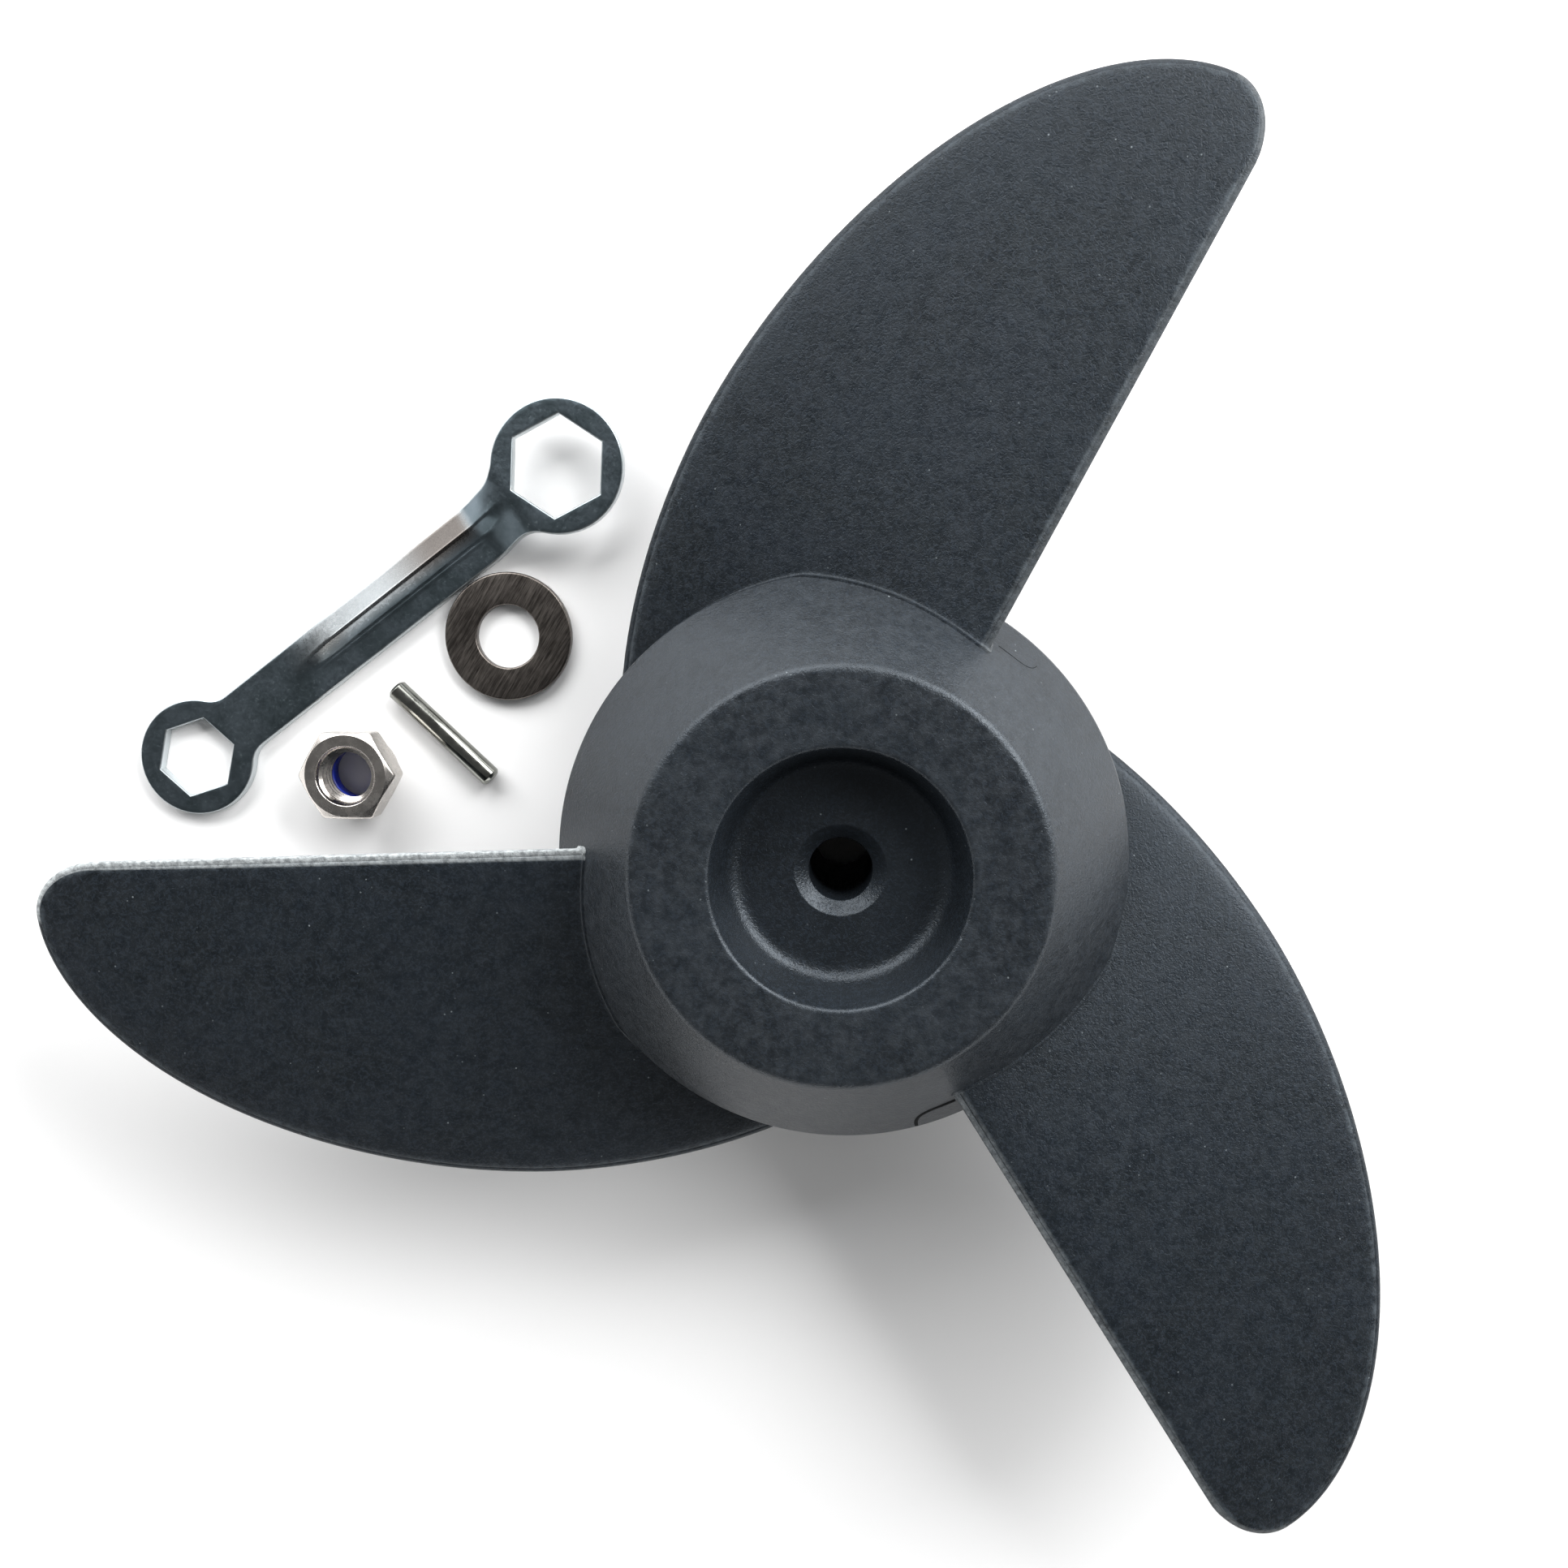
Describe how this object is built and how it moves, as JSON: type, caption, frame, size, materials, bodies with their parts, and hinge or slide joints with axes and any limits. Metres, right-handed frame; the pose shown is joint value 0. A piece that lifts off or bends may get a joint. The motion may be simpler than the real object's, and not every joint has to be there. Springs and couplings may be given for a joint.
{
  "type": "electric outboard propeller",
  "caption": "Left-handed bladed propeller for an electric outboard motor, laid out with its drive pin, washer, lock nut and ring spanner.",
  "frame": {"origin": "on the shaft axis, in the plane of the hub's forward rim, on which the propeller lies", "axes": "+Z aft along the shaft, out of the nut recess; the first blade leans 62 degrees from +X towards +Y, and the loose fastenings lie on the -X side"},
  "size_m": [0.2256, 0.2377, 0.052],
  "materials": {
    "moulded_plastic": "satin, fine moulded grain",
    "washer_steel": "brushed one way",
    "pin_steel": "ground bright",
    "nut_steel": "polished",
    "nylon": "semi-gloss",
    "zinc_plate": "mottled zinc plating"
  },
  "bodies": {
    "propeller": {"hub": "moulded_plastic", "blade_1": "moulded_plastic", "blade_2": "moulded_plastic", "blade_3": "moulded_plastic"},
    "washer": {"washer": "washer_steel"},
    "drive_pin": {"drive_pin": "pin_steel"},
    "lock_nut": {"lock_nut": "nut_steel", "nylon_insert": "nylon"},
    "spanner": {"spanner": "zinc_plate"}
  },
  "joints": [
    {"name": "washer_lift", "type": "slide", "parent": "propeller", "child": "washer", "axis": [0, 0, 1], "range_m": [0, 0.08]},
    {"name": "drive_pin_lift", "type": "slide", "parent": "propeller", "child": "drive_pin", "axis": [0, 0, 1], "range_m": [0, 0.08]},
    {"name": "lock_nut_lift", "type": "slide", "parent": "propeller", "child": "lock_nut", "axis": [0, 0, 1], "range_m": [0, 0.08]},
    {"name": "spanner_lift", "type": "slide", "parent": "propeller", "child": "spanner", "axis": [0, 0, 1], "range_m": [0, 0.08]}
  ]
}
